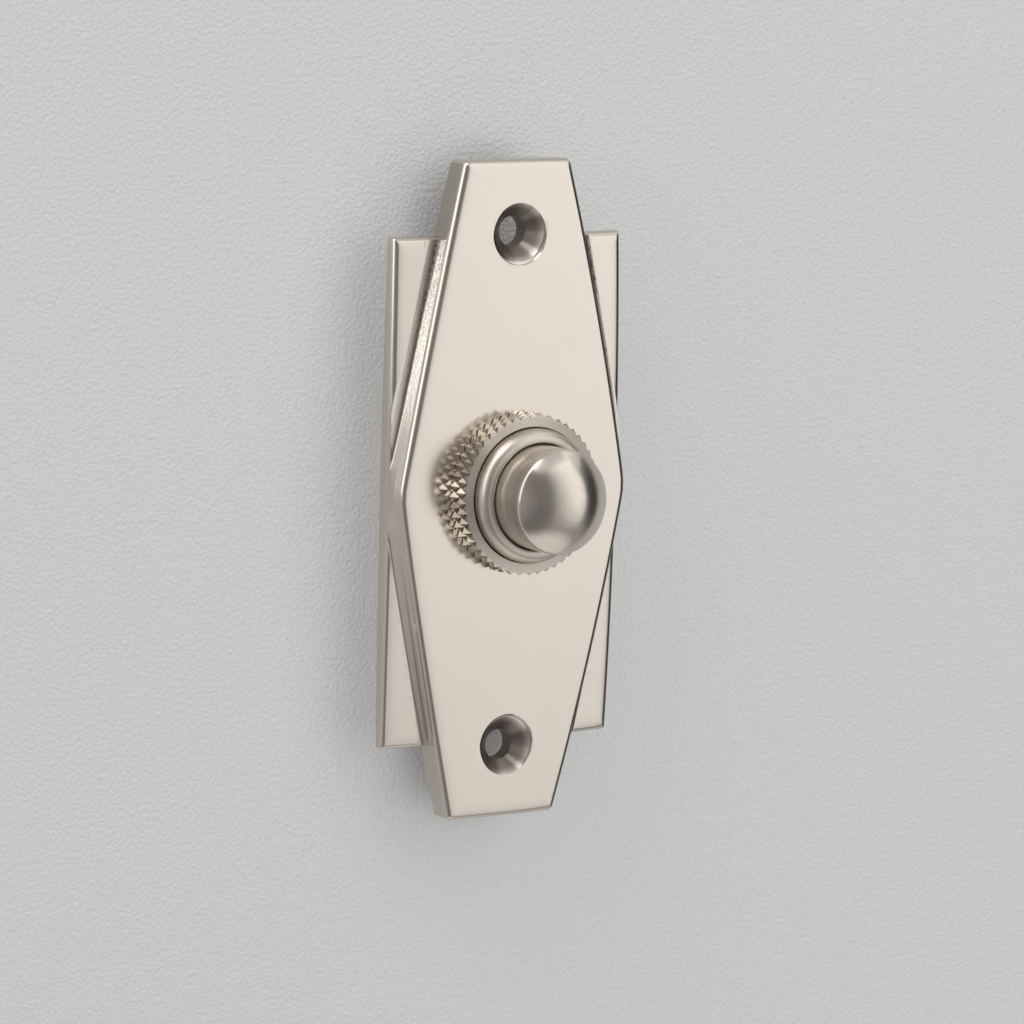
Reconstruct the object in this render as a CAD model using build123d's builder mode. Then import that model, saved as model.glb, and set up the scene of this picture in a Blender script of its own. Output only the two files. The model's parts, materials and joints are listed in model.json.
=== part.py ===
"""Doorbell push: a cast face plate with a knurled ring nut, a domed button and the switch behind it.

Millimetres. X runs across the plate, Z up the plate and Y into the wall. The back of the plate lies
on the wall at Y = 0, the button faces -Y and the push axis is the Y axis.
"""
import math
import os

from build123d import *

os.makedirs("parts", exist_ok=True)

# Face plate: a long six-sided panel raised on a rectangle whose corners show as two pairs of wings
panel_height = 90.0
panel_end_width = 17.2
panel_waist_width = 36.9
panel_thickness = 5.0
panel_end_thickness = 3.7
panel_side_bow = 0.4
panel_corner_radius = 1.2
panel_waist_radius = 10.0
panel_edge_radius = 0.45
wing_height = 69.4
wing_width = 37.4
wing_thickness = 2.6
wing_end_thickness = 1.9
wing_side_bow = 0.28
wing_corner_radius = 0.8
wing_edge_radius = 0.5
flank_rise = 0.9
flank_lean = 30.0
flank_overrun = 0.1

# Holes for two countersunk wood screws
screw_spacing = 70.4
screw_hole_diameter = 4.2
countersink_diameter = 8.3
countersink_angle = 90.0
countersink_overrun = 0.6

# Barrel, which passes through the plate from behind
barrel_diameter = 18.3
collar_wall = 1.8
barrel_hole_clearance = 0.2
lip_height = 2.1
lip_radius = 1.55
barrel_flange_overlap = 1.65
barrel_flange_thickness = 1.6
flange_recess_clearance = 0.25
flange_setback = 0.1
housing_wall = 0.6
housing_rim = 1.2

# Fibre washer between the flange and the floor of the plate's recess
clamp_washer_thickness = 0.5
clamp_washer_clearance = 0.15

# Knurled ring nut on the front of the plate
ring_wall = 1.8
ring_height = 3.8
ring_bore_clearance = 0.2
knurl_count = 48
knurl_angle = 27.0
knurl_depth = 0.45
knurl_width = 1.22

# Domed button, which runs in the collar, and its travel
button_clearance = 0.2
button_reach = 11.25
dome_height = 3.4
button_flange_overhang = 0.85
button_flange_thickness = 1.4
chamber_clearance = 0.2
guide_length = 4.5
boss_diameter = 6.8
boss_length = 2.5
socket_diameter = 4.0
socket_depth = 5.0
travel = 3.0
stop_gap = 0.05
stop_washer_thickness = 0.5
stop_washer_clearance = 0.1

# Contact carried behind the button
insulator_head_thickness = 2.0
insulator_clearance = 0.05
insulator_tip_gap = 0.3
bridge_overhang = 1.4
bridge_width = 4.0
bridge_thickness = 0.5
rivet_head_diameter = 1.8
rivet_head_thickness = 0.4
rivet_shank_diameter = 1.0
rivet_clearance = 0.03
screw_diameter = 2.0
screw_length = 3.5
screw_tip_gap = 0.3
screw_head_diameter = 3.8
screw_head_thickness = 0.8
screw_slot_width = 0.6
screw_slot_depth = 0.4
screw_clearance = 0.05
contact_clearance = 0.1

# Moulded base with two terminal studs
base_seat_width = 0.6
base_thickness = 3.5
base_clearance = 0.1
stud_inset = 4.4
stud_diameter = 3.0
stud_clearance = 0.06
stud_head_overhang = 0.3
stud_head_thickness = 1.0
stud_end_length = 1.0
stud_end_chamfer = 0.3
tip_diameter = 1.8
tip_thickness = 0.4
washer_diameter = 6.4
washer_thickness = 0.5
nut_across_flats = 5.5
nut_thickness = 2.0
thumb_nut_diameter = 6.0
thumb_nut_thickness = 3.2
thumb_nut_chamfer = 0.3

# Spring clip that holds the base in the housing
clip_thickness = 1.0
clip_groove_depth = 0.5
clip_width = 1.2
clip_clearance = 0.05
clip_gap_angle = 36.0
clip_ear_angle = 26.0
clip_ear_diameter = 2.4
clip_ear_hole_diameter = 1.0

# Return spring
spring_side_gap = 0.35
spring_wire_diameter = 0.8
spring_turns = 4.0
spring_seat_gap = 0.05

# Radii worked out from the barrel, outwards to the ring and inwards to the switch
barrel_radius = barrel_diameter / 2
barrel_hole_radius = barrel_radius + barrel_hole_clearance
flange_radius = barrel_hole_radius + barrel_flange_overlap
ring_bore_radius = barrel_radius + ring_bore_clearance
ring_radius = ring_bore_radius + ring_wall
guide_radius = barrel_radius - collar_wall
button_radius = guide_radius - button_clearance
button_flange_radius = button_radius + button_flange_overhang
chamber_radius = button_flange_radius + chamber_clearance
base_radius = chamber_radius + base_seat_width
base_bore_radius = base_radius + base_clearance
clip_groove_radius = base_bore_radius + clip_groove_depth
housing_radius = clip_groove_radius + housing_wall
spring_radius = chamber_radius - spring_side_gap - spring_wire_diameter / 2
stud_radius = stud_diameter / 2
stud_hole_radius = stud_radius + stud_clearance
screw_radius = screw_diameter / 2
rivet_shank_radius = rivet_shank_diameter / 2

# Stations along the push axis, worked out from the front to the back
ring_front = -(panel_thickness + ring_height)
lip_front = ring_front - lip_height
rim_front = -(panel_thickness + button_reach)
dome_top = rim_front - dome_height
shoulder = lip_front + guide_length
stop_washer_front = shoulder + stop_gap
button_flange_front = stop_washer_front + stop_washer_thickness
button_flange_back = button_flange_front + button_flange_thickness
boss_back = button_flange_back + boss_length
socket_floor = boss_back - socket_depth
insulator_back = boss_back + insulator_head_thickness
bridge_back = insulator_back + bridge_thickness
rivet_back = bridge_back + rivet_head_thickness
tip_front = rivet_back + travel + contact_clearance
stud_head_front = tip_front + tip_thickness
base_front = stud_head_front + stud_head_thickness
base_back = base_front + base_thickness
clip_back = base_back + clip_clearance + clip_thickness
clip_groove_back = clip_back + clip_clearance
housing_back = clip_groove_back + housing_rim
nut_front = base_back + washer_thickness
wire_washer_front = nut_front + nut_thickness
thumb_nut_front = wire_washer_front + washer_thickness
stud_back = thumb_nut_front + thumb_nut_thickness + stud_end_length
flange_back = -flange_setback
flange_front = flange_back - barrel_flange_thickness
recess_floor = flange_front - clamp_washer_thickness
spring_front = button_flange_back + spring_seat_gap
stud_reach = base_radius - stud_inset
stud_places = [(-stud_reach, 0), (stud_reach, 0)]


def across(station):
    """Plane square to the push axis, facing the front, at a station along that axis."""
    return Plane.XZ.offset(-station)


def finish(piece, name):
    """Label a finished piece and write it under its own name."""
    piece.part.label = name
    export_step(piece.part, f"parts/{name}.step")


def panel_outline(spread):
    """Panel's six bowed sides, with the four long ones moved out by a spread."""
    waist = (panel_waist_width / 2 + spread, 0)
    corner = (panel_end_width / 2 + spread, panel_height / 2)
    with BuildSketch() as outline:
        with BuildLine():
            side = Line(waist, corner, mode=Mode.PRIVATE)
            outward = Vector((side % 0.5).Y, -(side % 0.5).X)
            ThreePointArc(waist, side @ 0.5 + outward * panel_side_bow, corner)
            Line(corner, (0, panel_height / 2))
            mirror(about=Plane.YZ)
            mirror(about=Plane.XZ)
        make_face()
    return outline.sketch


# Wings: a rectangular slab with bowed long sides and a front that falls away towards its two ends
with BuildSketch() as wing_outline:
    with BuildLine():
        wing_corner = (wing_width / 2 - wing_side_bow, wing_height / 2)
        wing_side = ThreePointArc((wing_corner[0], -wing_corner[1]), (wing_width / 2, 0), wing_corner)
        other_side = mirror(about=Plane.YZ)
        Line(wing_side @ 1, other_side @ 1)
        Line(wing_side @ 0, other_side @ 0)
    make_face()

with BuildPart() as wings:
    with BuildSketch(Plane.XZ):
        add(wing_outline.sketch)
    extrude(amount=wing_thickness)
    fillet(wings.edges().filter_by(Axis.Y), radius=wing_corner_radius)
    with BuildSketch(Plane.YZ):
        with BuildLine():
            wing_crown = ThreePointArc(
                (-wing_end_thickness, -wing_height / 2),
                (-wing_thickness, 0),
                (-wing_end_thickness, wing_height / 2),
            )
            Polyline(wing_crown @ 1, (0, wing_height / 2), (0, -wing_height / 2), wing_crown @ 0)
        make_face()
    extrude(amount=wing_width, both=True, mode=Mode.INTERSECT)
    fillet(wings.faces().sort_by(Axis.Y)[0].outer_wire().edges(), radius=wing_edge_radius)

# Panel: rounded at the waist and the corners, with the same falling front
panel_face = panel_outline(spread=0)
with BuildPart() as panel:
    with BuildSketch(Plane.XZ):
        add(panel_face)
    extrude(amount=panel_thickness)
    uprights = panel.edges().filter_by(Axis.Y).group_by(Axis.X)
    fillet(uprights[1] + uprights[-2], radius=panel_corner_radius)
    uprights = panel.edges().filter_by(Axis.Y).group_by(Axis.X)
    fillet(uprights[0] + uprights[-1], radius=panel_waist_radius)
    with BuildSketch(Plane.YZ):
        with BuildLine():
            panel_crown = ThreePointArc(
                (-panel_end_thickness, -panel_height / 2),
                (-panel_thickness, 0),
                (-panel_end_thickness, panel_height / 2),
            )
            Polyline(panel_crown @ 1, (0, panel_height / 2), (0, -panel_height / 2), panel_crown @ 0)
        make_face()
    extrude(amount=panel_waist_width, both=True, mode=Mode.INTERSECT)
    fillet(panel.faces().sort_by(Axis.Y)[0].outer_wire().edges(), radius=panel_edge_radius)

# Flank: the foot of the panel's side, which leans out over the wings below a crease
flank_top = wing_thickness + flank_rise
flank_bottom = wing_end_thickness - wing_edge_radius
flank_slope = math.tan(math.radians(flank_lean))
flank_foot = panel_outline(spread=(flank_top - flank_bottom) * flank_slope)
flank_head = panel_outline(spread=-flank_overrun * flank_slope)
with BuildPart() as flank:
    with BuildSketch(across(-flank_bottom)):
        add(flank_foot)
    with BuildSketch(across(-flank_top - flank_overrun)):
        add(flank_head)
    loft(ruled=True)
    with BuildSketch(Plane.XZ):
        add(wing_outline.sketch)
    extrude(amount=panel_thickness, mode=Mode.INTERSECT)

# Face plate: panel and wings in one casting, bored for the barrel and recessed behind for its flange
crown_rise = panel_thickness - panel_end_thickness
crown_radius = ((panel_height / 2) ** 2 + crown_rise**2) / (2 * crown_rise)
screw_face = panel_thickness - crown_radius + math.sqrt(crown_radius**2 - (screw_spacing / 2) ** 2)
overrun_radius = countersink_overrun * math.tan(math.radians(countersink_angle / 2))
with BuildPart() as face_plate:
    add(wings.part)
    add(panel.part)
    add(flank.part)
    with BuildSketch(across(0)):
        Circle(barrel_hole_radius)
    extrude(amount=panel_thickness, mode=Mode.SUBTRACT)
    with BuildSketch(across(0)):
        Circle(flange_radius + flange_recess_clearance)
    extrude(amount=-recess_floor, mode=Mode.SUBTRACT)
    with Locations(across(-screw_face - countersink_overrun)):
        with GridLocations(0, screw_spacing, 1, 2):
            CounterSinkHole(
                radius=screw_hole_diameter / 2,
                counter_sink_radius=countersink_diameter / 2 + overrun_radius,
                counter_sink_angle=countersink_angle,
            )
finish(face_plate, "face_plate")

# Barrel: rounded lip, guide bore for the button, clamping flange, and a housing for the switch
with BuildPart() as barrel:
    with BuildSketch(Plane.XY):
        with BuildLine():
            lip_centre = (barrel_radius - lip_radius, lip_front + lip_radius)
            lip = CenterArc(lip_centre, lip_radius, start_angle=-90, arc_size=90)
            Polyline(
                lip @ 1,
                (barrel_radius, flange_front),
                (flange_radius, flange_front),
                (flange_radius, flange_back),
                (housing_radius, flange_back),
                (housing_radius, housing_back),
                (base_bore_radius, housing_back),
                (base_bore_radius, clip_groove_back),
                (clip_groove_radius, clip_groove_back),
                (clip_groove_radius, base_back),
                (base_bore_radius, base_back),
                (base_bore_radius, base_front),
                (chamber_radius, base_front),
                (chamber_radius, shoulder),
                (guide_radius, shoulder),
                (guide_radius, lip_front),
                lip @ 0,
            )
        make_face()
    revolve(axis=Axis.Y)
finish(barrel, "barrel")

# Fibre washer under the flange
with BuildPart() as clamp_washer:
    with BuildSketch(across(flange_front)):
        Circle(flange_radius)
        Circle(barrel_radius + clamp_washer_clearance, mode=Mode.SUBTRACT)
    extrude(amount=clamp_washer_thickness)
finish(clamp_washer, "clamp_washer")

# Knurled ring: two hands of V grooves cross on its rim and leave rows of diamond points
groove_lean = math.radians(knurl_angle)
groove_run = (0, math.sin(groove_lean), math.cos(groove_lean))
with BuildPart() as knurl_groove:
    with BuildSketch(Plane((0, 0, 0), x_dir=(1, 0, 0), z_dir=groove_run)):
        with BuildLine():
            groove_root = (-knurl_depth, 0)
            Polyline(groove_root, (knurl_depth, knurl_width), (knurl_depth, -knurl_width), groove_root)
        make_face()
    extrude(amount=ring_height, both=True)
opposite_groove = mirror(knurl_groove.part, about=Plane.XY, mode=Mode.PRIVATE)

with BuildPart() as knurled_ring:
    with BuildSketch(across(-panel_thickness)):
        Circle(ring_radius)
        Circle(ring_bore_radius, mode=Mode.SUBTRACT)
    extrude(amount=ring_height)
    with Locations(across(-panel_thickness - ring_height / 2)):
        with PolarLocations(ring_radius, knurl_count):
            add(knurl_groove.part, mode=Mode.SUBTRACT)
            add(opposite_groove, mode=Mode.SUBTRACT)
finish(knurled_ring, "knurled_ring")

# Button: low dome with a crisp rim, stem, retaining flange and a bored boss behind
with BuildPart() as push_button:
    with BuildSketch(Plane.XY):
        with BuildLine():
            dome_radius = (button_radius**2 + dome_height**2) / (2 * dome_height)
            dome_sweep = math.degrees(math.asin(button_radius / dome_radius))
            dome_centre = (0, dome_top + dome_radius)
            dome = CenterArc(dome_centre, dome_radius, start_angle=-90, arc_size=dome_sweep)
            Polyline(
                dome @ 1,
                (button_radius, button_flange_front),
                (button_flange_radius, button_flange_front),
                (button_flange_radius, button_flange_back),
                (boss_diameter / 2, button_flange_back),
                (boss_diameter / 2, boss_back),
                (socket_diameter / 2, boss_back),
                (socket_diameter / 2, socket_floor),
                (0, socket_floor),
                dome @ 0,
            )
        make_face()
    revolve(axis=Axis.Y)
finish(push_button, "push_button")

# Fibre washer that quiets the button's return against the barrel's shoulder
with BuildPart() as stop_washer:
    with BuildSketch(across(button_flange_front)):
        Circle(button_flange_radius)
        Circle(button_radius + stop_washer_clearance, mode=Mode.SUBTRACT)
    extrude(amount=stop_washer_thickness)
finish(stop_washer, "stop_washer")

# Insulator: a moulded plug pressed into the button's boss, bored for the bridge screw
with BuildPart() as contact_insulator:
    with BuildSketch(across(insulator_back)):
        Circle(boss_diameter / 2)
    extrude(amount=insulator_head_thickness)
    with BuildSketch(across(boss_back)):
        Circle(socket_diameter / 2 - insulator_clearance)
    extrude(amount=socket_depth - insulator_tip_gap)
    with BuildSketch(across(insulator_back)):
        Circle(screw_radius + screw_clearance)
    extrude(amount=screw_length - bridge_thickness + screw_tip_gap, mode=Mode.SUBTRACT)
finish(contact_insulator, "contact_insulator")

# Bridge: a springy bronze strip that joins the two studs when the button goes home
with BuildPart() as contact_bridge:
    with BuildSketch(across(bridge_back)):
        SlotOverall(2 * (stud_reach + bridge_overhang), bridge_width)
        Circle(screw_radius + screw_clearance, mode=Mode.SUBTRACT)
        with Locations(*stud_places):
            Circle(rivet_shank_radius + rivet_clearance, mode=Mode.SUBTRACT)
    extrude(amount=bridge_thickness)
finish(contact_bridge, "contact_bridge")

# Silver rivets in the two ends of the bridge
with BuildPart() as bridge_contacts:
    with BuildSketch(across(rivet_back)):
        with Locations(*stud_places):
            Circle(rivet_head_diameter / 2)
    extrude(amount=rivet_head_thickness)
    with BuildSketch(across(bridge_back)):
        with Locations(*stud_places):
            Circle(rivet_shank_radius)
    extrude(amount=bridge_thickness)
finish(bridge_contacts, "bridge_contacts")

# Slotted screw through the bridge into the insulator
with BuildPart() as bridge_screw:
    with BuildSketch(across(bridge_back + screw_head_thickness)):
        Circle(screw_head_diameter / 2)
    extrude(amount=screw_head_thickness)
    with BuildSketch(across(bridge_back)):
        Circle(screw_radius)
    extrude(amount=screw_length)
    with BuildSketch(across(bridge_back + screw_head_thickness)):
        Rectangle(screw_head_diameter, screw_slot_width)
    extrude(amount=screw_slot_depth, mode=Mode.SUBTRACT)
finish(bridge_screw, "bridge_screw")

# Return spring: an open coil with ground ends between the button's flange and the base
with BuildPart() as return_spring:
    spring_length = base_front - spring_front
    with BuildLine() as coil:
        Helix(
            pitch=spring_length / spring_turns,
            height=spring_length,
            radius=spring_radius,
            center=(0, spring_front, 0),
            direction=(0, 1, 0),
        )
    with BuildSketch(Plane(origin=coil.line @ 0, z_dir=coil.line % 0)):
        Circle(spring_wire_diameter / 2)
    sweep(is_frenet=True)
    split(bisect_by=across(spring_front), keep=Keep.BOTTOM)
    split(bisect_by=across(base_front), keep=Keep.TOP)
finish(return_spring, "return_spring")

# Terminal base: a moulded disc bored for the two studs
with BuildPart() as terminal_base:
    with BuildSketch(across(base_back)):
        Circle(base_radius)
        with Locations(*stud_places):
            Circle(stud_hole_radius, mode=Mode.SUBTRACT)
    extrude(amount=base_thickness)
finish(terminal_base, "terminal_base")

# Headed studs: the head meets the bridge inside, the shank takes the nuts behind
for name, place in zip(("contact_stud_left", "contact_stud_right"), stud_places):
    with BuildPart() as contact_stud:
        with BuildSketch(across(base_front)):
            with Locations(place):
                Circle(stud_radius + stud_head_overhang)
        extrude(amount=stud_head_thickness)
        with BuildSketch(across(stud_back)):
            with Locations(place):
                Circle(stud_radius)
        extrude(amount=stud_back - base_front)
        chamfer(contact_stud.edges().sort_by(Axis.Y)[-1], length=stud_end_chamfer)
    finish(contact_stud, name)

# Silver tips on the stud heads
with BuildPart() as stud_tips:
    with BuildSketch(across(stud_head_front)):
        with Locations(*stud_places):
            Circle(tip_diameter / 2)
    extrude(amount=tip_thickness)
finish(stud_tips, "stud_tips")

# Plain washers under the fixing nuts and under the thumb nuts
for name, front in (("stud_washers", base_back), ("wire_washers", wire_washer_front)):
    with BuildPart() as washers:
        with BuildSketch(across(front + washer_thickness)):
            with Locations(*stud_places):
                Circle(washer_diameter / 2)
                Circle(stud_hole_radius, mode=Mode.SUBTRACT)
        extrude(amount=washer_thickness)
    finish(washers, name)

# Hexagon nuts that fix the studs to the base
with BuildPart() as stud_nuts:
    with BuildSketch(across(nut_front + nut_thickness)):
        with Locations(*stud_places):
            RegularPolygon(nut_across_flats / 2, 6, major_radius=False)
            Circle(stud_hole_radius, mode=Mode.SUBTRACT)
    extrude(amount=nut_thickness)
finish(stud_nuts, "stud_nuts")

# Thumb nuts that clamp the bell wires
with BuildPart() as terminal_nuts:
    with BuildSketch(across(thumb_nut_front + thumb_nut_thickness)):
        with Locations(*stud_places):
            Circle(thumb_nut_diameter / 2)
            Circle(stud_hole_radius, mode=Mode.SUBTRACT)
    extrude(amount=thumb_nut_thickness)
    thumb_nut_rims = terminal_nuts.edges().filter_by(GeomType.CIRCLE).group_by(SortBy.RADIUS)[-1]
    chamfer(thumb_nut_rims, length=thumb_nut_chamfer)
finish(terminal_nuts, "terminal_nuts")

# Spring clip in the housing's groove, open at the top between two eared ends
clip_outer_radius = clip_groove_radius - clip_clearance
clip_inner_radius = clip_outer_radius - clip_width
with BuildPart() as retaining_clip:
    with BuildSketch(across(clip_back)):
        Circle(clip_outer_radius)
        Circle(clip_inner_radius, mode=Mode.SUBTRACT)
        gap_reach = math.tan(math.radians(clip_gap_angle / 2)) * 2 * clip_outer_radius
        with BuildLine():
            Polyline(
                (0, 0), (gap_reach, 2 * clip_outer_radius), (-gap_reach, 2 * clip_outer_radius), (0, 0)
            )
        make_face(mode=Mode.SUBTRACT)
        for ear_angle in (90 - clip_ear_angle, 90 + clip_ear_angle):
            with PolarLocations(clip_inner_radius, 1, start_angle=ear_angle):
                Circle(clip_ear_diameter / 2)
                Circle(clip_ear_hole_diameter / 2, mode=Mode.SUBTRACT)
    extrude(amount=clip_thickness)
finish(retaining_clip, "retaining_clip")
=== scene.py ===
"""Doorbell push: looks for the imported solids, laid out as an add-on.

Metres. X runs across the plate, Z up the plate and Y into the wall. The back of the plate is at
Y = 0, the button faces -Y and the push axis is the Y axis.
"""
import json
import math
from functools import partial

import bmesh
import bpy
from bpy.props import FloatProperty, FloatVectorProperty, IntProperty, PointerProperty
from mathutils import Matrix, Vector


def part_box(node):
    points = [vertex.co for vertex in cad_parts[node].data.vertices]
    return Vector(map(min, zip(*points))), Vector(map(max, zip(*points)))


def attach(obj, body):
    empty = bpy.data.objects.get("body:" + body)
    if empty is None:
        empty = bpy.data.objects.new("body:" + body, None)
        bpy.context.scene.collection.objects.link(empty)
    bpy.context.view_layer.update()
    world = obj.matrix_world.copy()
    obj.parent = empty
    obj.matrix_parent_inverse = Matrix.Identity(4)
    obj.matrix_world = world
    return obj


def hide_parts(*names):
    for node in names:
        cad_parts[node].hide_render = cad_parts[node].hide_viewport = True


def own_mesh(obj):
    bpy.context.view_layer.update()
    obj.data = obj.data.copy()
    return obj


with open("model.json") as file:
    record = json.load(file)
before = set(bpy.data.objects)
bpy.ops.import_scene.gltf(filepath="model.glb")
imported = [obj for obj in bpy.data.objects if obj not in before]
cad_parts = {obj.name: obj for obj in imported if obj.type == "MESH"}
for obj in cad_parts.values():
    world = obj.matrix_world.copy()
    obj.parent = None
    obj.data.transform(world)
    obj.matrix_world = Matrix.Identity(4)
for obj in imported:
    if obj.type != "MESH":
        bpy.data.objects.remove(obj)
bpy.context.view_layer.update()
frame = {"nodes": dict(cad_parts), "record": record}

bl_info = {
    "name": "Doorbell push",
    "version": (1, 0, 0),
    "blender": (4, 5, 0),
    "location": "View3D > Sidebar > Doorbell",
    "description": "Models a doorbell push with a six-sided plate, a knurled ring and a domed button",
    "category": "Object",
}

MM = 0.001
PLATE_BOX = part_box("face_plate")
RING_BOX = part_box("knurled_ring")
BARREL_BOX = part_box("barrel")
BUTTON_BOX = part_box("push_button")
SPRING_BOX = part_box("return_spring")
BODY = "body"
BUTTON = "button"
PUSH_AXIS = (0, 1, 0)

# From the push axis to each stud
STUD_REACH = 4.4 * MM

# Points closer than this count as one
FINEST = 0.001 * MM


# Properties that a user would change

def length(name, metres, description):
    """A size in metres."""
    return FloatProperty(name=name, description=description, default=metres, unit="LENGTH", precision=5)


def angle(name, degrees, description):
    """An angle, written in degrees."""
    return FloatProperty(name=name, description=description, default=math.radians(degrees), subtype="ANGLE")


def linear(hex_colour):
    """Linear red, green and blue of an sRGB hex colour."""
    shares = [int(hex_colour[i:i + 2], 16) / 255 for i in (1, 3, 5)]
    return tuple(s / 12.92 if s <= 0.04045 else ((s + 0.055) / 1.055) ** 2.4 for s in shares)


def colour(name, hex_colour, description):
    """A colour, written as an sRGB hex value."""
    return FloatVectorProperty(
        name=name, description=description, default=linear(hex_colour), subtype="COLOR", min=0, max=1
    )


class PlateSizes(bpy.types.PropertyGroup):
    """Sizes of the cast face plate."""

    panel_height: length("Panel height", PLATE_BOX[1].z - PLATE_BOX[0].z, "Height of the six-sided panel")
    panel_waist: length("Panel waist", 36.9 * MM, "Width of the panel at its middle")
    panel_end: length("Panel end", 17.2 * MM, "Width of the panel at its top and bottom")
    panel_thickness: length("Panel thickness", -PLATE_BOX[0].y, "Panel's thickness in its middle")
    panel_end_thickness: length("Panel end thickness", 3.7 * MM, "Panel's thickness at its ends")
    panel_crown: length("Panel crown", 0.15 * MM, "Fall of the panel's front towards its sides")
    panel_bow: length("Panel bow", 0.4 * MM, "Outward bow of the panel's long sides")
    panel_corner: length("Panel corner", 0.7 * MM, "Radius of the panel's four corners")
    waist_radius: length("Waist radius", 10 * MM, "Radius of the panel's two waist corners")
    panel_edge: length("Panel edge", 0.65 * MM, "Radius of the panel's front edge at the lower left")
    wing_width: length("Wing width", PLATE_BOX[1].x - PLATE_BOX[0].x, "Width across the wings")
    wing_height: length("Wing height", 69.4 * MM, "Height of the wings")
    wing_thickness: length("Wing thickness", 2.6 * MM, "Thickness of the wings in their middle")
    wing_end_thickness: length("Wing end thickness", 1.9 * MM, "Thickness of the wings at their ends")
    wing_slope: angle("Wing slope", 5.5, "Slope of the wings' front down to the outer edge")
    wing_bow: length("Wing bow", 0.28 * MM, "Outward bow of the wings' long sides")
    wing_corner: length("Wing corner", 0.45 * MM, "Radius of the wings' corners")
    wing_edge: length("Wing edge", 0.55 * MM, "Radius of the wings' front edge at the lower left")
    edge_upper: FloatProperty(name="Upper edge", default=1.6, min=1, max=2,
                              description="How many times rounder the front edges are at the upper left")
    edge_right: FloatProperty(name="Right edge", default=1.7, min=1, max=2,
                              description="How many times rounder the front edges are on the right")
    flank_drop: length("Flank drop", 0.9 * MM, "Depth at which the panel's leaning sides begin")
    flank_upper: length("Upper flank", 0.9 * MM, "Lean of the panel's side above the waist")
    flank_lower: length("Lower flank", 1.15 * MM, "Lean of the panel's side below the waist")
    flank_right: FloatProperty(name="Right flank", default=0.7, min=0.1, max=1, subtype="FACTOR",
                               description="Lean of the right flank as a share of the left")
    screw_spacing: length("Screw spacing", 70.4 * MM, "Distance between the two screw holes")
    screw_hole: length("Screw hole", 4.2 * MM, "Diameter of the screw holes")
    countersink: length("Countersink", 8.3 * MM, "Diameter of the countersinks at the face")


class RingSizes(bpy.types.PropertyGroup):
    """Sizes of the knurled ring nut."""

    diameter: length("Diameter", RING_BOX[1].x - RING_BOX[0].x, "Diameter over the knurl")
    bore: length("Bore", 18.5 * MM, "Diameter of the bore")
    teeth: IntProperty(name="Teeth", description="Knurl points round the ring", default=48, min=12, max=120)
    point_rise: length("Row spacing", 1.6 * MM, "Distance between two rows of knurl points")
    depth: length("Knurl depth", 0.65 * MM, "Depth of the knurl's grooves")


class ButtonSizes(bpy.types.PropertyGroup):
    """Sizes of the domed button and its collar."""

    stem: length("Stem", 14.3 * MM, "Diameter of the button's stem")
    dome_height: length("Dome height", 3.4 * MM, "Rise of the dome above its rim")
    rim_radius: length("Rim radius", 0.3 * MM, "Radius of the edge between dome and stem")
    collar: length("Collar", 18.3 * MM, "Outer diameter of the collar")
    collar_bore: length("Collar bore", 14.52 * MM, "Bore of the collar that guides the button")
    lip_radius: length("Lip radius", 1.5 * MM, "Radius of the collar's rounded lip")


class FinishColours(bpy.types.PropertyGroup):
    """Colours of the finishes."""

    nickel: colour("Nickel", "#CFC6BC", "Satin nickel plate")
    tarnish: colour("Tarnish", "#9A8468", "Brown film on old nickel")
    # Also laid on as painted shade: on the plate's front edges that face right, at the foot of its upper left
    # side and on the left wall of its upper end
    worn: colour("Worn edge", "#4A3D34", "Browned brass at edges and in holes")
    brass: colour("Brass", "#D3B06F", "Turned brass")
    bronze: colour("Bronze", "#C48E62", "Rolled phosphor bronze")
    silver: colour("Silver", "#EDEBE6", "Fine silver contacts")
    steel: colour("Spring steel", "#8F8D8B", "Drawn spring steel")
    fibre: colour("Fibre", "#7D3A2C", "Vulcanised fibre sheet")
    phenolic: colour("Phenolic", "#35261F", "Moulded phenolic resin")
    wall: colour("Wall", "#B8B8B7", "Painted wall")


class StageSettings(bpy.types.PropertyGroup):
    """Camera, wall and lamps."""

    camera_azimuth: angle("Camera azimuth", -33.53, "How far to the right the camera stands")
    camera_elevation: angle("Camera elevation", 7.95, "How far above the plate the camera stands")
    camera_roll: angle("Camera roll", 1.58, "Turn of the picture about its middle")
    camera_distance: length("Camera distance", 787 * MM, "Distance from the camera to its target")
    wall_standoff: length("Wall stand-off", 6 * MM, "Room between the plate's back and the wall")


GROUPS = {
    "doorbell_plate": PlateSizes,
    "doorbell_ring": RingSizes,
    "doorbell_button": ButtonSizes,
    "doorbell_colours": FinishColours,
    "doorbell_stage": StageSettings,
}


# Modelling by hand

def deselect():
    """Leave edit mode and drop every selection."""
    if bpy.context.object and bpy.context.object.mode != "OBJECT":
        bpy.ops.object.mode_set(mode="OBJECT")
    bpy.ops.object.select_all(action="DESELECT")


def close_piece(piece):
    """Leave edit mode with the piece alone selected and active."""
    deselect()
    bpy.context.view_layer.objects.active = piece
    piece.select_set(True)


def open_piece(piece):
    """Open a piece in edit mode with all of it selected."""
    close_piece(piece)
    bpy.ops.object.mode_set(mode="EDIT")
    bpy.ops.mesh.select_all(action="SELECT")


def open_primitive(name):
    """Name the primitive just added, put its place in its mesh and open it in edit mode."""
    piece = bpy.context.object
    piece.name = name
    piece.data.name = name
    bpy.ops.object.transform_apply(location=True, rotation=True, scale=True)
    open_piece(piece)
    return piece


def pick(kind, test):
    """Select the points or faces of the piece in edit mode that pass a test."""
    mesh = bpy.context.edit_object.data
    bpy.ops.mesh.select_mode(type=kind)
    bpy.ops.mesh.select_all(action="DESELECT")
    cage = bmesh.from_edit_mesh(mesh)
    for part in cage.verts if kind == "VERT" else cage.faces:
        if test(part):
            part.select_set(True)
    bmesh.update_edit_mesh(mesh)


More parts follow.
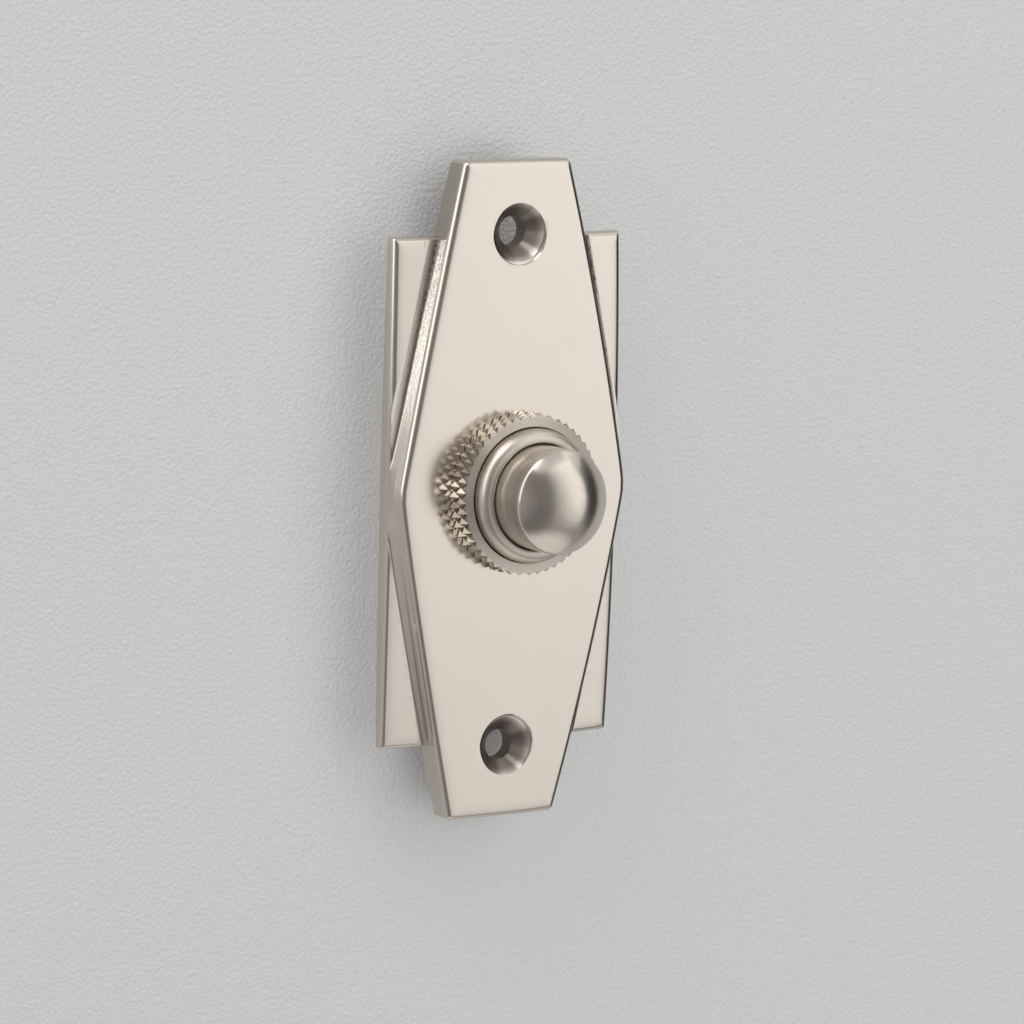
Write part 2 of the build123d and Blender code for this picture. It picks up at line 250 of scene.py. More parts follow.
def cut_rows(axis, places):
    """Cut the piece in edit mode across an axis at each place."""
    normal = [0, 0, 0]
    normal[axis] = 1
    for place in places:
        point = [0, 0, 0]
        point[axis] = place
        bpy.ops.mesh.select_all(action="SELECT")
        bpy.ops.mesh.bisect(plane_co=point, plane_no=normal, threshold=FINEST)


def tidy_mesh():
    """Merge doubles, drop stray edges and turn every face outwards, in edit mode."""
    bpy.ops.mesh.select_mode(type="VERT")
    bpy.ops.mesh.select_all(action="SELECT")
    bpy.ops.mesh.remove_doubles(threshold=FINEST)
    bpy.ops.mesh.dissolve_degenerate(threshold=FINEST / 2)
    bpy.ops.mesh.delete_loose()
    bpy.ops.mesh.select_all(action="SELECT")
    bpy.ops.mesh.normals_make_consistent(inside=False)


def apply_modifier(piece, kind, **settings):
    """Add a modifier with its settings and apply it."""
    close_piece(piece)
    bpy.ops.object.modifier_add(type=kind)
    modifier = piece.modifiers[-1]
    for key, value in settings.items():
        setattr(modifier, key, value)
    bpy.ops.object.modifier_apply(modifier=modifier.name)


def combine(piece, other, operation):
    """Join another shape to the piece or cut it away, and delete the other shape."""
    apply_modifier(piece, "BOOLEAN", object=other, operation=operation, solver="EXACT")
    bpy.data.objects.remove(other, do_unlink=True)


def clean(piece):
    """Split the many-sided faces that joining and cutting leave, drop slivers and fill their holes."""
    open_piece(piece)
    tidy_mesh()
    pick("FACE", lambda f: len(f.verts) > 4)
    bpy.ops.mesh.quads_convert_to_tris(ngon_method="BEAUTY")
    tidy_mesh()
    bpy.ops.mesh.fill_holes(sides=4)
    bpy.ops.mesh.normals_make_consistent(inside=False)
    close_piece(piece)


def smooth(piece, degrees):
    """Shade the piece smooth up to an angle, with its flat faces kept flat."""
    close_piece(piece)
    bpy.ops.object.shade_smooth_by_angle(angle=math.radians(degrees))
    apply_modifier(piece, "WEIGHTED_NORMAL", keep_sharp=True)


def turned(name, outline, steps):
    """Turn a closed outline of (radius, station) points about the push axis."""
    deselect()
    bpy.ops.mesh.primitive_circle_add(vertices=len(outline), radius=1)
    piece = open_primitive(name)
    cage = bmesh.from_edit_mesh(piece.data)
    cage.verts.ensure_lookup_table()
    for corner, (radius, station) in zip(cage.verts, outline):
        corner.co = (radius, station, 0)
    bmesh.update_edit_mesh(piece.data)
    bpy.ops.mesh.spin(steps=steps, angle=math.tau, center=(0, 0, 0), axis=PUSH_AXIS)
    tidy_mesh()
    close_piece(piece)
    return piece


def move(piece, offset):
    """Move the whole of a piece's mesh."""
    open_piece(piece)
    bpy.ops.transform.translate(value=offset)
    close_piece(piece)


def arc(centre, radius, start, end, count):
    """Points along an arc between two angles in degrees, both ends included."""
    turns = [math.radians(start + (end - start) * i / (count - 1)) for i in range(count)]
    return [(centre[0] + radius * math.cos(t), centre[1] + radius * math.sin(t)) for t in turns]


def broken_rim(radius, front, back, broken):
    """Outline of a rim with broken edges, or of a bore if back comes first and the break is negative."""
    inner = radius - broken
    return [(inner, front), (radius, front + broken), (radius, back - broken), (inner, back)]


def knurled_bar(name, teeth, radius, depth, stations, row):
    """A bar on the push axis, cut at stations, with every other point of a row pulled in by a depth."""
    deselect()
    front, back = stations[0], stations[-1]
    bpy.ops.mesh.primitive_cylinder_add(
        vertices=2 * teeth, radius=radius, depth=back - front,
        location=(0, (front + back) / 2, 0), rotation=(math.pi / 2, 0, 0),
    )
    piece = open_primitive(name)
    cut_rows(axis=1, places=stations[1:-1])
    pick("VERT", lambda v: (round(math.atan2(v.co.x, v.co.z) / math.pi * teeth) + row(v.co.y)) % 2)
    inward = 1 - depth / radius
    bpy.ops.transform.resize(value=(inward, 1, inward), center_override=(0, 0, 0))
    return piece


def shaped_bar(name, sides, rows, place):
    """A bar cut in rows along Z, whose sides are then put in place row by row."""
    deselect()
    middle, height = (rows[0] + rows[-1]) / 2, rows[-1] - rows[0]
    bpy.ops.mesh.primitive_cylinder_add(vertices=sides, radius=1, depth=height, location=(0, 0, middle))
    piece = open_primitive(name)
    cut_rows(axis=2, places=rows[1:-1])
    cage = bmesh.from_edit_mesh(piece.data)
    for corner in cage.verts:
        side = round(math.atan2(corner.co.x, corner.co.y) / math.tau * sides) % sides
        corner.co.x, corner.co.y = place(side, corner.co.z)
    bmesh.update_edit_mesh(piece.data)
    tidy_mesh()
    close_piece(piece)
    return piece


def own(piece, body, slot, material, *nodes):
    """Let the piece ride on a body, stand for its solids and take its finish."""
    piece.data.materials.clear()
    piece.data.materials.append(material)
    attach(piece, body)
    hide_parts(*nodes)


# Finishes

SOFT = {"interpolation_type": "SMOOTHSTEP"}

# Sockets of a Mix node, which go by number
FIRST_VALUE, SECOND_VALUE = 2, 3
FIRST_COLOUR, SECOND_COLOUR, MIXED_COLOUR = 6, 7, 2

# A quarter turn, so that highlights run across the rings
ACROSS_THE_RINGS = 0.25


def add_node(tree, kind, feeds=None, values=None, **settings):
    """Add a shader node with its settings, socket values and links.

    A feed is a node, which stands for its first output, or a pair of a node and one of its outputs.
    """
    made = tree.nodes.new("ShaderNode" + kind)
    for key, value in settings.items():
        setattr(made, key, value)
    for socket, value in (values or {}).items():
        made.inputs[socket].default_value = value
    for socket, feed in (feeds or {}).items():
        source, outlet = feed if isinstance(feed, tuple) else (feed, 0)
        tree.links.new(source.outputs[outlet], made.inputs[socket])
    return made


def emptied(owner):
    """Empty the node tree of a material, a lamp or the world, and return what adds nodes to it."""
    owner.use_nodes = True
    owner.node_tree.nodes.clear()
    return partial(add_node, owner.node_tree)


def blank(name):
    """An empty material, what adds nodes to it, and its Object coordinates."""
    material = bpy.data.materials.new(name)
    add = emptied(material)
    return material, add, (add("TexCoord"), "Object")


def rgba(colour_value):
    """A colour with full alpha."""
    return (*colour_value, 1)


def pattern_scale(millimetres):
    """Noise scale, in Object coordinates in metres, for features of a size in millimetres."""
    return 1 / (millimetres * MM)


def span(start, end, before, after):
    """Values of a change from one value to another as the source goes from start to end."""
    return {"From Min": start, "From Max": end, "To Min": before, "To Max": after}


def from_screw_hole(add, place):
    """Where a place lies in the plane of the plate as seen from the nearer screw hole, and how far off."""
    spacing = bpy.context.scene.doorbell_plate.screw_spacing
    parts = add("SeparateXYZ", {0: place})
    height = add("Math", {0: (parts, "Z")}, operation="ABSOLUTE")
    offset = add("Math", {0: height}, {1: spacing / 2}, operation="SUBTRACT")
    half = add("Math", {0: (parts, "Z")}, operation="SIGN")
    rise = add("Math", {0: offset, 1: half}, operation="MULTIPLY")
    spot = add("CombineXYZ", {"X": (parts, "X"), "Z": rise})
    return spot, (add("VectorMath", {0: spot}, operation="LENGTH"), "Value")


def satin_nickel():
    """Satin nickel on cast brass: rubbed by hand to a soft sheen, pitted where the cast skin was left, dark
    brown in its holes, with painted shade on front edges that face right, at the foot of the upper left side
    and on the left wall of the upper end.
    """
    colours, rim = bpy.context.scene.doorbell_colours, bpy.context.scene.doorbell_plate.countersink / 2
    material, add, place = blank("satin_nickel_on_cast_brass")
    rubbed = add("TexNoise", {0: place}, {"Scale": pattern_scale(9), "Detail": 3})
    hollow = add("Attribute", attribute_name="hollow")
    pits = add("TexNoise", {0: place}, {"Scale": pattern_scale(0.32), "Detail": 2, "Roughness": 0.7})
    sunk = add("MapRange", {0: pits}, span(0.38, 0.56, 0, 1), **SOFT)
    skin = add("Math", {0: sunk, 1: (hollow, "Fac")}, operation="MULTIPLY")
    pitted = add("Bump", {"Height": skin}, {"Strength": 1, "Distance": 0.04 * MM})
    waves = add("Bump", {"Height": rubbed, "Normal": pitted}, {"Strength": 0.05, "Distance": 0.05 * MM})

    # The countersinks are turned: dull, browned, and with highlights drawn out across their rings
    spot, radius = from_screw_hole(add, place)
    round_hole = add("VectorMath", {1: spot}, {0: PUSH_AXIS}, operation="CROSS_PRODUCT")
    tilt = add("SeparateXYZ", {0: (add("NewGeometry"), "Normal")})
    on_back = add("MapRange", {0: (tilt, "Y")}, span(0.2, 0.6, 0, 2 * rim), **SOFT)
    reach = add("Math", {0: radius, 1: on_back}, operation="ADD")
    drilled, grooved, dull = (
        add("MapRange", {0: reach}, span(start * rim, end * rim, inside, 0), **SOFT)
        for start, end, inside in ((0.75, 1, 0.65), (0.9, 1, 0.75), (0.9, 1.05, 0.32))
    )

    # Painted shade: front edges that face right are tinted dark brown, a painted dark reflection along them
    right_facing_shade = add("MapRange", {0: (tilt, "X")}, span(0.2, 0.5, 0, 1), **SOFT)
    to_front = add("MapRange", {0: (tilt, "Y")}, span(-0.6, -0.75, 0, 0.85), **SOFT)
    edge = add("Math", {0: right_facing_shade, 1: to_front}, operation="MULTIPLY")
    # Painted shade at the foot of the upper left side and on the left wall of the upper end, marked on the
    # mesh, mixed in with the same dark brown as the holes
    foot = add("Attribute", attribute_name="foot")
    brown = add("Math", {0: (foot, "Fac"), 1: edge}, operation="MAXIMUM")
    share = add("Math", {0: drilled, 1: brown}, operation="MAXIMUM")
    tint = add("Mix", {0: share}, {FIRST_COLOUR: rgba(colours.nickel), SECOND_COLOUR: rgba(colours.worn)},
               data_type="RGBA")
    polish = add("MapRange", {0: rubbed}, span(0.3, 0.7, 0.15, 0.2))
    gloss = add("Math", {0: polish, 1: dull}, operation="MAXIMUM")
    surface = add("BsdfPrincipled",
                  {"Base Color": (tint, MIXED_COLOUR), "Roughness": gloss, "Normal": waves,
                   "Anisotropic": grooved, "Tangent": round_hole},
                  {"Metallic": 1, "Anisotropic Rotation": ACROSS_THE_RINGS})
    add("OutputMaterial", {"Surface": surface})
    return material


def lathe_lines(add, place, size):
    """Noise in rings about the push axis, with lines of a size in millimetres.

    Real tool marks are about a quarter as wide. They are drawn coarser so that they show.
    """
    parts = add("SeparateXYZ", {0: place})
    flat = add("CombineXYZ", {"X": (parts, "X"), "Y": (parts, "Z")})
    radius = add("VectorMath", {0: flat}, operation="LENGTH")
    spot = add("CombineXYZ", {"X": (radius, "Value"), "Y": (parts, "Y")})
    lines = add("TexNoise", {"Vector": spot}, {"Scale": pattern_scale(size), "Detail": 2, "Roughness": 0.6})
    return lines, parts


def turned_surface(material, add, place, lines, patch, strength, film_share, feeds):
    """Close a turned finish: tool marks, and brown film in patches of a size in millimetres along them."""
    colours = bpy.context.scene.doorbell_colours
    stains = add("TexNoise", {0: place}, {"Scale": pattern_scale(patch), "Detail": 4})
    streaked = add("Math", {0: stains, 1: lines}, operation="ADD")
    film = add("MapRange", {0: streaked}, span(0.8, 1.25, 0, 1), **SOFT)
    share = add("Math", {0: film, 1: film_share}, operation="MULTIPLY")
    tint = add("Mix", {0: share}, {FIRST_COLOUR: rgba(colours.nickel), SECOND_COLOUR: rgba(colours.tarnish)},
               data_type="RGBA")
    bump = add("Bump", {"Height": lines}, {"Strength": strength, "Distance": 0.02 * MM})
    lathe = add("Tangent", direction_type="RADIAL", axis="Y")
    surface = add("BsdfPrincipled",
                  {"Base Color": (tint, MIXED_COLOUR), "Tangent": lathe, "Normal": bump, **feeds},
                  {"Metallic": 1, "Anisotropic Rotation": ACROSS_THE_RINGS})
    add("OutputMaterial", {"Surface": surface})
    return material


def turned_nickel(name, face_gloss, side_gloss, stained):
    """Nickel on turned brass: lathe rings draw the light out into fans, brown film lies in patches."""
    material, add, place = blank(name)
    lines, _ = lathe_lines(add, place, size=0.22)
    parts = add("SeparateXYZ", {0: (add("NewGeometry"), "Normal")})
    grooved, gloss, film_share = (
        add("MapRange", {0: (parts, axis)}, span(*change), **SOFT)
        for axis, *change in (
            ("Y", -0.99, -0.94, 0.95, 0),
            ("Y", -0.99, -0.6, face_gloss, side_gloss),
            # The film is heavier on faces that look down than on faces that look up, so turned parts are
            # darker underneath
            ("Z", -1, 1, 1.2 * stained, 0.6 * stained),
        )
    )
    return turned_surface(material, add, place, lines, patch=4, strength=0.4, film_share=film_share,
                          feeds={"Roughness": gloss, "Anisotropic": grooved})


def worn_nickel():
    """Nickel on a turned button: the dome worn satin by fingers, the stem bright and browned by the lip."""
    rim = BUTTON_BOX[0].y + bpy.context.scene.doorbell_button.dome_height
    material, add, place = blank("worn_nickel_on_turned_brass")
    lines, parts = lathe_lines(add, place, size=0.2)
    film_share, bare, gloss, drawn = (
        add("MapRange", {0: (parts, "Y")}, span(rim, rim + run, on_dome, on_stem), **SOFT)
        for run, on_dome, on_stem in (
            (0.4 * MM, 0.1, 0.3), (0.4 * MM, 1, 0.7), (0.3 * MM, 0.2, 0.13), (0.3 * MM, 0.35, 0.2)
        )
    )
    return turned_surface(material, add, place, lines, patch=3, strength=0.12, film_share=film_share,
                          feeds={"Roughness": gloss, "Anisotropic": drawn, "Metallic": bare})


def plain_metal(name, tint, roughness, grain):
    """A rolled, drawn or turned metal: bare, with a grain of a size in millimetres in its gloss.

    Real grain is finer. It is drawn coarser so that it shows.
    """
    material, add, place = blank(name)
    noise = add("TexNoise", {0: place}, {"Scale": pattern_scale(grain), "Detail": 3})
    gloss = add("MapRange", {0: noise}, {"To Min": roughness - 0.08, "To Max": roughness + 0.08})
    bump = add("Bump", {"Height": noise}, {"Strength": 0.1, "Distance": 0.02 * MM})
    surface = add("BsdfPrincipled", {"Roughness": gloss, "Normal": bump},
                  {"Base Color": rgba(tint), "Metallic": 1})
    add("OutputMaterial", {"Surface": surface})
    return material


def moulded(name, tint, roughness, grain, depth):
    """A moulded or pressed insulator: mottled colour and a matt, finely grained skin."""
    material, add, place = blank(name)
    noise = add("TexNoise", {0: place}, {"Scale": pattern_scale(grain), "Detail": 4})
    lift = add("MapRange", {0: noise}, {"To Min": 0.6, "To Max": 1.4})
    mottle = add("HueSaturation", {"Value": lift}, {"Color": rgba(tint)})
    bump = add("Bump", {"Height": noise}, {"Strength": 0.3, "Distance": depth})
    surface = add("BsdfPrincipled", {"Base Color": mottle, "Normal": bump}, {"Roughness": roughness})
    add("OutputMaterial", {"Surface": surface})
    return material


def wall_paint():
    """Emulsion laid on with a roller: pale grey with a fine stipple. It glows faintly, painted light that
    lifts the plate's shadow, and the glow is dimmed behind the screw holes, painted shade where the wall
    shows through them. Clear from behind.
    """
    material, add, place = blank("rolled_wall_paint")
    stipple = add("TexNoise", {0: place},
                  {"Scale": pattern_scale(0.55), "Detail": 1, "Roughness": 0.5})
    bump = add("Bump", {"Height": stipple}, {"Strength": 1, "Distance": 0.27 * MM})
    paint = add("BsdfPrincipled", {"Normal": bump},
                {"Base Color": rgba(bpy.context.scene.doorbell_colours.wall), "Roughness": 0.6})
    # Painted light: the wall glows to lift the plate's shadow, and less near the screw holes as painted shade
    # seen through them
    _, reach = from_screw_hole(add, place)
    glow = add("MapRange", {0: reach}, span(5 * MM, 14 * MM, 0.06, 0.225), **SOFT)
    fill = add("Emission", {"Strength": glow})
    lit = add("AddShader", {0: paint, 1: fill})
    clear = add("BsdfTransparent")
    both = add("MixShader", {0: (add("NewGeometry"), "Backfacing"), 1: lit, 2: clear})
    add("OutputMaterial", {"Surface": both})
    return material


# Shape of the plate

def clamp(value, low=0, high=1):
    """The value, kept between two limits."""
    return max(low, min(high, value))


def panel_half_width(sizes, z):
    """Half the panel's width at a height: straight sides with a slight bow, rounded at the waist."""
    waist, fall = sizes.panel_waist / 2, (sizes.panel_waist - sizes.panel_end) / 2
    share = abs(z) / (sizes.panel_height / 2)
    slope = (fall - 4 * sizes.panel_bow) / (sizes.panel_height / 2)
    lean = math.atan(slope)
    if abs(z) < sizes.waist_radius * math.sin(lean):
        top = waist - sizes.waist_radius * (1 / math.cos(lean) - 1)
        return top - sizes.waist_radius + math.sqrt(sizes.waist_radius**2 - z**2)
    return waist - fall * share + 4 * sizes.panel_bow * share * (1 - share)


def wing_half_width(sizes, z):
    """Half the width across the wings at a height."""
    share = z / (sizes.wing_height / 2)
    return sizes.wing_width / 2 - sizes.wing_bow * share**2


def panel_front(sizes, z, x=0):
    """Height of the panel's front above the wall, which falls away towards the ends and the sides."""
    fall = sizes.panel_thickness - sizes.panel_end_thickness
    middle = sizes.panel_thickness - fall * (z / (sizes.panel_height / 2)) ** 2
    return middle - sizes.panel_crown * (2 * x / sizes.panel_waist) ** 2


def wing_front(sizes, z, x):
    """Height of the wings' front above the wall, which slopes down to the outer edge."""
    fall = sizes.wing_thickness - sizes.wing_end_thickness
    middle = sizes.wing_thickness - fall * (z / (sizes.wing_height / 2)) ** 2
    level = 0.4 * sizes.wing_width
    return middle + (level - x) * math.tan(sizes.wing_slope)


def edge_fall(distance, radius, roll, drop):
    """Fall of a rubbed-down front at a distance in from its outline: a slow roll, then a round edge."""
    fall = 0
    if distance < radius:
        fall += radius - math.sqrt(max(0, radius**2 - (radius - distance) ** 2))
    if distance < roll:
        fall += drop * (1 - distance / roll) ** 2
    return fall


def rounding(sizes, edge, across, z):
    """Radius of a front edge that was rubbed by hand, by its place from left (-1) to right (1) and height."""
    change = 24 * MM
    rise = clamp(z / change + 0.5)
    left = edge * (1 + (sizes.edge_upper - 1) * rise**2 * (3 - 2 * rise))
    return left + (edge * sizes.edge_right - left) * max(0, across) ** 2


def slab(name, sizes, height, half_width, front, corner, edge, roll, drop):
    """A cast slab, cut in rows that are drawn to its outline, its front and its rounded front edge."""
    edge_shares, roll_shares = (0, 0.03, 0.1, 0.2, 0.35, 0.55, 0.78, 1), (0.3, 0.65, 1.1)
    shares = (0.85, 0.7, 0.55, 0.4, 0.25, 0.1)
    row_spacing = 1.5 * MM

    def rows_in(radius):
        """Distances in from the outline at which the front edge is cut."""
        return [radius * s for s in edge_shares] + [radius + (roll - radius) * s for s in roll_shares]

    steps = rows_in(rounding(sizes, edge, 0, 0))
    last = steps[-1]
    half = len(steps) + len(shares) + 1
    middle_rows = round((height - 2 * last) / row_spacing)
    ends = [height / 2 - s for s in steps]
    middle = [(height / 2 - last) * (1 - 2 * i / middle_rows) for i in range(1, middle_rows)]
    rows = sorted([*ends, *middle, *(-z for z in ends)])

    def place(index, z):
        side, column = (1, index) if index < half else (-1, 2 * half - 1 - index)
        to_end = height / 2 - abs(z)
        rounded = half_width(sizes, z)
        if to_end < corner:
            rounded -= corner - math.sqrt(max(0, corner**2 - (corner - to_end) ** 2))
        columns = rows_in(rounding(sizes, edge, side, z))
        if column <= len(steps):
            x = rounded - columns[max(0, column - 1)]
        else:
            x = (rounded - columns[-1]) * shares[column - len(steps) - 1]
        radius = rounding(sizes, edge, side * x / rounded, z)
        to_side = half_width(sizes, z) - x
        inside = min(to_side, to_end)
        if to_side < corner and to_end < corner:
            inside = corner - math.hypot(corner - to_side, corner - to_end)
        y = 0 if column == 0 else front(sizes, z, x) - edge_fall(inside, radius, roll, drop)
        return side * x, -y

    return shaped_bar(name, 2 * half, rows, place)


def flank_reach(sizes):
    """Height above and below the waist to which the panel's side leans out."""
    short = 0.3 * MM
    return sizes.wing_height / 2 - short


def flank_line(sizes, z, side):
    """The panel's leaning side at a height: top and foot, as (half width, height) points."""
    panel = panel_half_width(sizes, z)
    share = z / flank_reach(sizes)
    middle = (sizes.flank_upper + sizes.flank_lower) / 2
    change = (sizes.flank_upper - sizes.flank_lower) / 2
    spread = middle + change * clamp(4 * share, -1, 1)
    if side > 0:
        spread *= sizes.flank_right
    top = panel_front(sizes, z) - max(sizes.flank_drop, rounding(sizes, sizes.panel_edge, side, z))
    return (panel, top), (panel + spread, wing_front(sizes, z, panel + spread))


def hollow_runs(share):
    """How far the hollow at the panel's foot reaches up its side and out on the wing."""
    at_waist, end_begins = 0.3, 0.7
    slope, end = min(1, 3 * abs(share)), max(0, abs(share) - end_begins) / (1 - end_begins)
    growth = ((0.15, 0.3), (1.1, 0.2)) if share > 0 else ((-0.12, 0.25), (-0.12, 0.3))
    return [(at_waist + on_slope * slope + at_end * end) * MM for on_slope, at_end in growth]


def groove_taper(share):
    """Share of the full groove in the panel's side: it grows below the waist and ends in a round tip."""
    begin, growth, tip, tip_length = 0.12, 0.6, 0.985, 0.03
    return clamp((-share - begin) / growth) * math.sqrt(clamp((tip + share) / tip_length))


def flank(sizes, side):
    """The panel's side, which leans out over a pair of wings to a hollow, with a long groove in it."""
    reach = flank_reach(sizes)
    groove_steps, groove_half, groove_depth, groove_place = 12, 0.38 * MM, 0.085 * MM, 0.38
    deepest, thinnest = -0.4, 0.03
    hollow_steps, half_rows = 12, 40
    buried, sunk, skim, short = 1.2 * MM, 0.6 * MM, 0.004 * MM, 0.06 * MM

    def section(z):
        """Outline across the flank at a height, from its top down the hollow and back inside."""
        top, foot = flank_line(sizes, z, side)
        lean = math.atan2(foot[0] - top[0], top[1] - foot[1])
        up, out = (run * (1 if side < 0 else sizes.flank_right) for run in hollow_runs(z / reach))
        begin = [foot[k] + up / math.dist(top, foot) * (top[k] - foot[k]) for k in (0, 1)]
        finish = (foot[0] + out, wing_front(sizes, z, foot[0] + out) - skim)
        points = [(top[0] - buried, top[1]), top]
        taper = max(thinnest, groove_taper(z / reach))
        for i in range(groove_steps + 1):
            across = 2 * i / groove_steps - 1
            down = groove_place + across * groove_half * taper / math.dist(top, foot)
            slant = (across - deepest) / (1 + deepest if across < deepest else 1 - deepest)
            deep = groove_depth * groove_taper(z / reach) * (1 + math.cos(math.pi * slant)) / 2
            points.append((top[0] + down * (foot[0] - top[0]) - deep * math.cos(lean),
                           top[1] + down * (foot[1] - top[1]) - deep * math.sin(lean)))
        for i in range(hollow_steps):
            t = i / (hollow_steps - 1)
            points.append(tuple((1 - t) ** 2 * begin[k] + 2 * t * (1 - t) * foot[k] + t**2 * finish[k]
                                for k in (0, 1)))
        points += [(finish[0], foot[1] - sunk), (top[0] - buried, foot[1] - sunk)]
        limit = wing_half_width(sizes, z) - short
        return [(min(x, limit), y) for x, y in points]

    def place(index, z):
        x, y = section(z)[index]
        return side * x, -y

    tip = (0.96, 0.967, 0.971, 0.98, 0.983, 0.985)
    even = [reach * (i / half_rows - 1) for i in range(2 * half_rows + 1)]
    rows = sorted(even + [-reach * share for share in tip])
    return shaped_bar("flank", len(section(0)), rows, place)


def mark_hollows_and_shade(plate, sizes):
    """Mark cast skin left on the sides above the waist, and painted shade at the foot of the upper left side
    and on the left wall of the upper end.
    """
    to_left, end_shade = -0.9, 0.3
    near, above, beyond = 0.02 * MM, 0.01 * MM, 1.6 * MM
    shade_top, shade_fade = 0.5, 0.4
    for name in ("hollow", "foot"):
        plate.data.attributes.new(name, "FLOAT", "FACE")
    skin, brown = (plate.data.attributes[name].data for name in ("hollow", "foot"))
    for index, face in enumerate(plate.data.polygons):
        x, y, z = face.center
        # Painted shade, with some brown film, on the left-facing wall of the upper end
        if z > sizes.wing_height / 2 and face.normal.x < to_left:
            brown[index].value = end_shade
        if not 0 < z < flank_reach(sizes):
            continue
        top, foot = flank_line(sizes, z, x)
        inside = top[0] - near < abs(x) < foot[0] + beyond
        raised = wing_front(sizes, z, abs(x)) + above < -y < top[1] + near
        if inside and raised:
            share, rise = z / flank_reach(sizes), (-y - foot[1]) / (top[1] - foot[1])
            skin[index].value = share**2
            fade = 1 - max(0, abs(x) - foot[0]) / hollow_runs(share)[1]
            # Painted shade in the hollow at the foot of the left side, strongest at the foot and higher up
            # the plate
            brown[index].value = share * fade * clamp((shade_top - rise) / shade_fade) if x < 0 else 0


def countersink_cutter(sizes, z):
    """Drill for a countersunk screw, with the rim of the hole just broken."""
    face = panel_front(sizes, z)
    hole, rim, broken = sizes.screw_hole / 2, sizes.countersink / 2, 0.18 * MM
    ahead = 2 * MM
    outline = [
        (0, -face - ahead),
        (rim + broken + ahead, -face - ahead),
        (rim + broken, -face),
        (rim - broken * 0.3, -face + broken * 0.45),
        (rim - broken, -face + broken),
        (hole, -face + rim - hole),
        (hole, ahead),
        (0, ahead),
    ]
    cutter = turned("countersink", outline, steps=96)
    move(cutter, (0, 0, z))
    return cutter


class FacePlate(bpy.types.Operator):
    """Cast plate: a panel on two pairs of wings, countersunk and bored"""

    bl_idname = "object.doorbell_face_plate"
    bl_label = "Face plate"

    def execute(self, context):
        sizes = context.scene.doorbell_plate
        plate = slab(
            "face_plate.dressed", sizes, sizes.panel_height, panel_half_width, panel_front,
            sizes.panel_corner, sizes.panel_edge, roll=2 * MM, drop=0.15 * MM,
        )
        wings = slab(
            "wings", sizes, sizes.wing_height, wing_half_width, wing_front,
            sizes.wing_corner, sizes.wing_edge, roll=2.2 * MM, drop=0.15 * MM,
        )
        for side in (-1, 1):
            combine(wings, flank(sizes, side), "UNION")
        combine(plate, wings, "UNION")
        through = 2 * MM
        bore_radius, recess_radius = 9.35 * MM, 11.25 * MM
        recess_floor = -2.2 * MM
        outline = [(0, -sizes.panel_thickness - through), (bore_radius, -sizes.panel_thickness - through),
                   (bore_radius, recess_floor), (recess_radius, recess_floor),
                   (recess_radius, through), (0, through)]
        combine(plate, turned("bore", outline, steps=128), "DIFFERENCE")
        for z in (-sizes.screw_spacing / 2, sizes.screw_spacing / 2):
            combine(plate, countersink_cutter(sizes, z), "DIFFERENCE")
        clean(plate)
        mark_hollows_and_shade(plate, sizes)
        smooth(plate, degrees=22)
        own(plate, BODY, "satin_nickel", satin_nickel(), "face_plate")
        return {"FINISHED"}


class KnurledRing(bpy.types.Operator):
    """Ring nut with a diamond knurl"""

    bl_idname = "object.doorbell_knurled_ring"
    bl_label = "Knurled ring"

    def execute(self, context):
        sizes = context.scene.doorbell_ring
        radius, front, back = sizes.diameter / 2, RING_BOX[0].y, RING_BOX[1].y
        rise = sizes.point_rise
        rows = math.ceil((back - front) / rise)
        ring = knurled_bar(
            "knurled_ring.dressed", sizes.teeth, radius, sizes.depth,
            stations=[front + i * rise for i in range(rows + 1)], row=lambda y: round((y - front) / rise),
        )
        pick("FACE", lambda f: len(f.verts) == 4)
        bpy.ops.mesh.quads_convert_to_tris(quad_method="SHORTEST_DIAGONAL")
        bpy.ops.mesh.select_all(action="SELECT")
        bpy.ops.mesh.bisect(
            plane_co=(0, back, 0), plane_no=PUSH_AXIS, use_fill=True, clear_outer=True, threshold=FINEST
        )
        tidy_mesh()
        bore, chamfer, past = sizes.bore / 2, 0.12 * MM, 1 * MM
        outline = [(0, front - past), (bore + chamfer + past, front - past), (bore + chamfer, front),
                   (bore, front + chamfer), (bore, back + past), (0, back + past)]
        combine(ring, turned("bore", outline, steps=128), "DIFFERENCE")
        face, bevel = radius - 0.56 * MM, 0.46 * MM
        outline = [(face, front), (face - past, front - past), (radius + past, front - past),
                   (radius + past, front + bevel), (radius, front + bevel)]
        combine(ring, turned("chamfer", outline, steps=192), "DIFFERENCE")
        clean(ring)
        smooth(ring, degrees=12)
        nickel = turned_nickel("nickel_on_knurled_brass", face_gloss=0.46, side_gloss=0.14, stained=0.15)
        own(ring, BODY, "turned_nickel", nickel, "knurled_ring")
        return {"FINISHED"}


